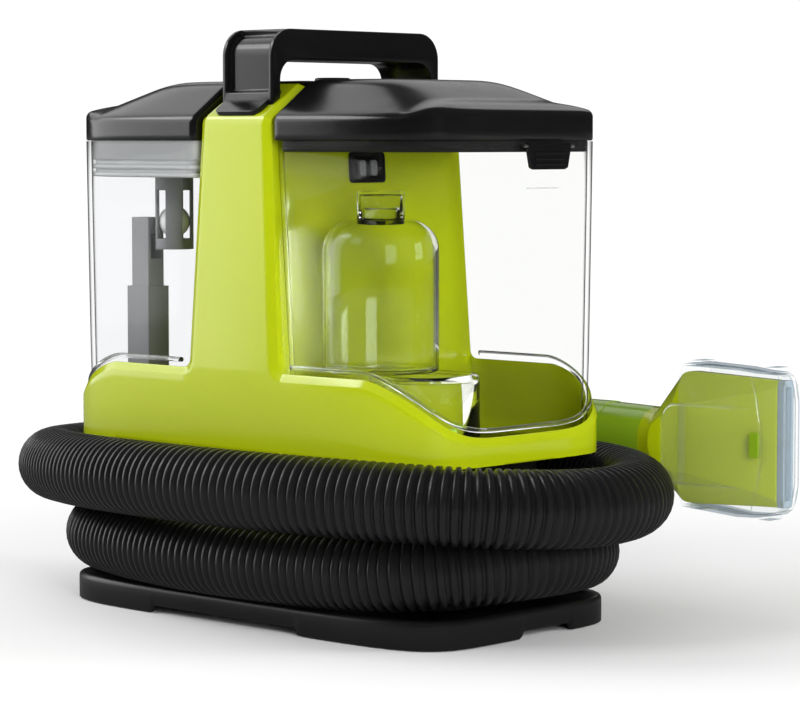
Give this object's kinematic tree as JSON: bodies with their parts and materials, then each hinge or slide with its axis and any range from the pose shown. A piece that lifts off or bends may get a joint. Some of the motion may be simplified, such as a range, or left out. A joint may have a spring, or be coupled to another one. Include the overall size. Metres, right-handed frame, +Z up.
{
  "type": "spot extractor",
  "caption": "Portable spot extractor with two lift-off tanks, a wound ribbed hose, a carrying handle and a hand tool parked at the back.",
  "frame": {"origin": "centre of the base on the floor", "axes": "+Z up, front faces -Y, clean water tank and tool mouth towards +X"},
  "size_m": [0.4423, 0.3034, 0.33],
  "materials": {
    "lime_plastic": "satin gloss moulded green plastic",
    "olive_plastic": "deep green moulded plastic",
    "black_plastic": "satin black moulded plastic",
    "clear_plastic": "clear polished plastic",
    "smoke_plastic": "smoky grey transparent plastic",
    "hose_plastic": "ribbed flexible hose",
    "seal_rubber": "matte rubber",
    "grey_plastic": "light grey moulded plastic",
    "inner_plastic": "unpainted inner moulding",
    "lip_plastic": "blue-grey translucent plastic",
    "steel": "zinc-plated steel",
    "motor_steel": "painted motor can",
    "fan_aluminium": "cast aluminium",
    "circuit_board": "solder-masked board",
    "pin_brass": "plug pins"
  },
  "bodies": {
    "machine": {"base_tray": "black_plastic", "lower_shell": "black_plastic", "main_housing": "lime_plastic", "tower_shell": "lime_plastic", "top_panel": "black_plastic", "handle": "black_plastic", "handle_screws": "steel", "rubber_feet": "seal_rubber", "base_screws": "steel", "suction_hose": "hose_plastic", "hose_port": "black_plastic", "hose_cuff": "black_plastic", "tool_cuff": "black_plastic", "tool_holder": "black_plastic", "tool_grip": "olive_plastic", "trigger_pin": "steel", "nozzle_body": "lime_plastic", "nozzle_lip": "lip_plastic", "spray_tip": "inner_plastic", "spray_line": "grey_plastic", "vacuum_motor": "motor_steel", "motor_mount": "seal_rubber", "fan_housing": "inner_plastic", "air_duct": "inner_plastic", "water_pump": "inner_plastic", "supply_tube": "grey_plastic", "control_board": "circuit_board", "exhaust_grille": "black_plastic", "power_cord": "seal_rubber", "power_plug": "black_plastic", "plug_pins": "pin_brass", "cord_grommet": "seal_rubber", "lower_cord_hook": "black_plastic"},
    "power_button": {"power_button": "black_plastic"},
    "clean_tank": {"clean_tank": "clear_plastic", "detergent_bottle": "clear_plastic", "bottle_cap": "clear_plastic", "filter_cup": "clear_plastic"},
    "clean_lid": {"clean_lid": "black_plastic", "clean_seal": "seal_rubber", "clean_latch_pin": "steel"},
    "clean_latch": {"clean_latch": "black_plastic"},
    "tank_valve": {"tank_valve": "grey_plastic"},
    "dirty_tank": {"dirty_tank": "smoke_plastic", "riser_duct": "grey_plastic"},
    "dirty_lid": {"dirty_lid": "black_plastic", "dirty_collar": "grey_plastic", "float_cage": "grey_plastic", "dirty_latch_pin": "steel"},
    "dirty_latch": {"dirty_latch": "black_plastic"},
    "float": {"float_ball": "grey_plastic"},
    "right_catch": {"right_catch": "black_plastic"},
    "left_catch": {"left_catch": "black_plastic"},
    "trigger": {"trigger": "black_plastic"},
    "nozzle_cover": {"nozzle_cover": "clear_plastic"},
    "fan": {"impeller": "fan_aluminium", "motor_shaft": "steel"},
    "cord_hook": {"upper_cord_hook": "black_plastic"}
  },
  "joints": [
    {"name": "power_press", "type": "slide", "parent": "machine", "child": "power_button", "axis": [0, 0, -1], "range_m": [0, 0.0025]},
    {"name": "clean_tank_lift", "type": "slide", "parent": "machine", "child": "clean_tank", "axis": [0, 0, 1], "range_m": [0, 0.15]},
    {"name": "clean_lid_lift", "type": "slide", "parent": "clean_tank", "child": "clean_lid", "axis": [0, 0, 1], "range_m": [0, 0.03]},
    {"name": "clean_latch_turn", "type": "hinge", "parent": "clean_lid", "child": "clean_latch", "pos_m": [0.1473, 0.015, 0.2656], "axis": [0, -1, 0], "range_deg": [0, 25]},
    {"name": "valve_rise", "type": "slide", "parent": "clean_tank", "child": "tank_valve", "axis": [0, 0, 1], "range_m": [0, 0.003]},
    {"name": "dirty_tank_lift", "type": "slide", "parent": "machine", "child": "dirty_tank", "axis": [0, 0, 1], "range_m": [0, 0.15]},
    {"name": "dirty_lid_lift", "type": "slide", "parent": "dirty_tank", "child": "dirty_lid", "axis": [0, 0, 1], "range_m": [0, 0.03]},
    {"name": "dirty_latch_turn", "type": "hinge", "parent": "dirty_lid", "child": "dirty_latch", "pos_m": [-0.1473, 0.015, 0.2656], "axis": [0, 1, 0], "range_deg": [0, 25]},
    {"name": "float_rise", "type": "slide", "parent": "dirty_lid", "child": "float", "axis": [0, 0, 1], "range_m": [0, 0.012]},
    {"name": "right_catch_press", "type": "slide", "parent": "machine", "child": "right_catch", "axis": [-1, 0, 0], "range_m": [0, 0.004]},
    {"name": "left_catch_press", "type": "slide", "parent": "machine", "child": "left_catch", "axis": [1, 0, 0], "range_m": [0, 0.004]},
    {"name": "trigger_pull", "type": "hinge", "parent": "machine", "child": "trigger", "pos_m": [0.064, 0.1544, 0.098], "axis": [0, 0, -1], "range_deg": [0, 9]},
    {"name": "nozzle_cover_pull", "type": "slide", "parent": "machine", "child": "nozzle_cover", "axis": [1, 0, 0], "range_m": [0, 0.035]},
    {"name": "fan_spin", "type": "hinge", "parent": "machine", "child": "fan", "pos_m": [0, 0, 0.08], "axis": [0, 0, 1], "continuous": true},
    {"name": "cord_hook_turn", "type": "hinge", "parent": "machine", "child": "cord_hook", "pos_m": [-0.017, 0.09, 0.258], "axis": [0, 1, 0], "range_deg": [0, 180]}
  ]
}
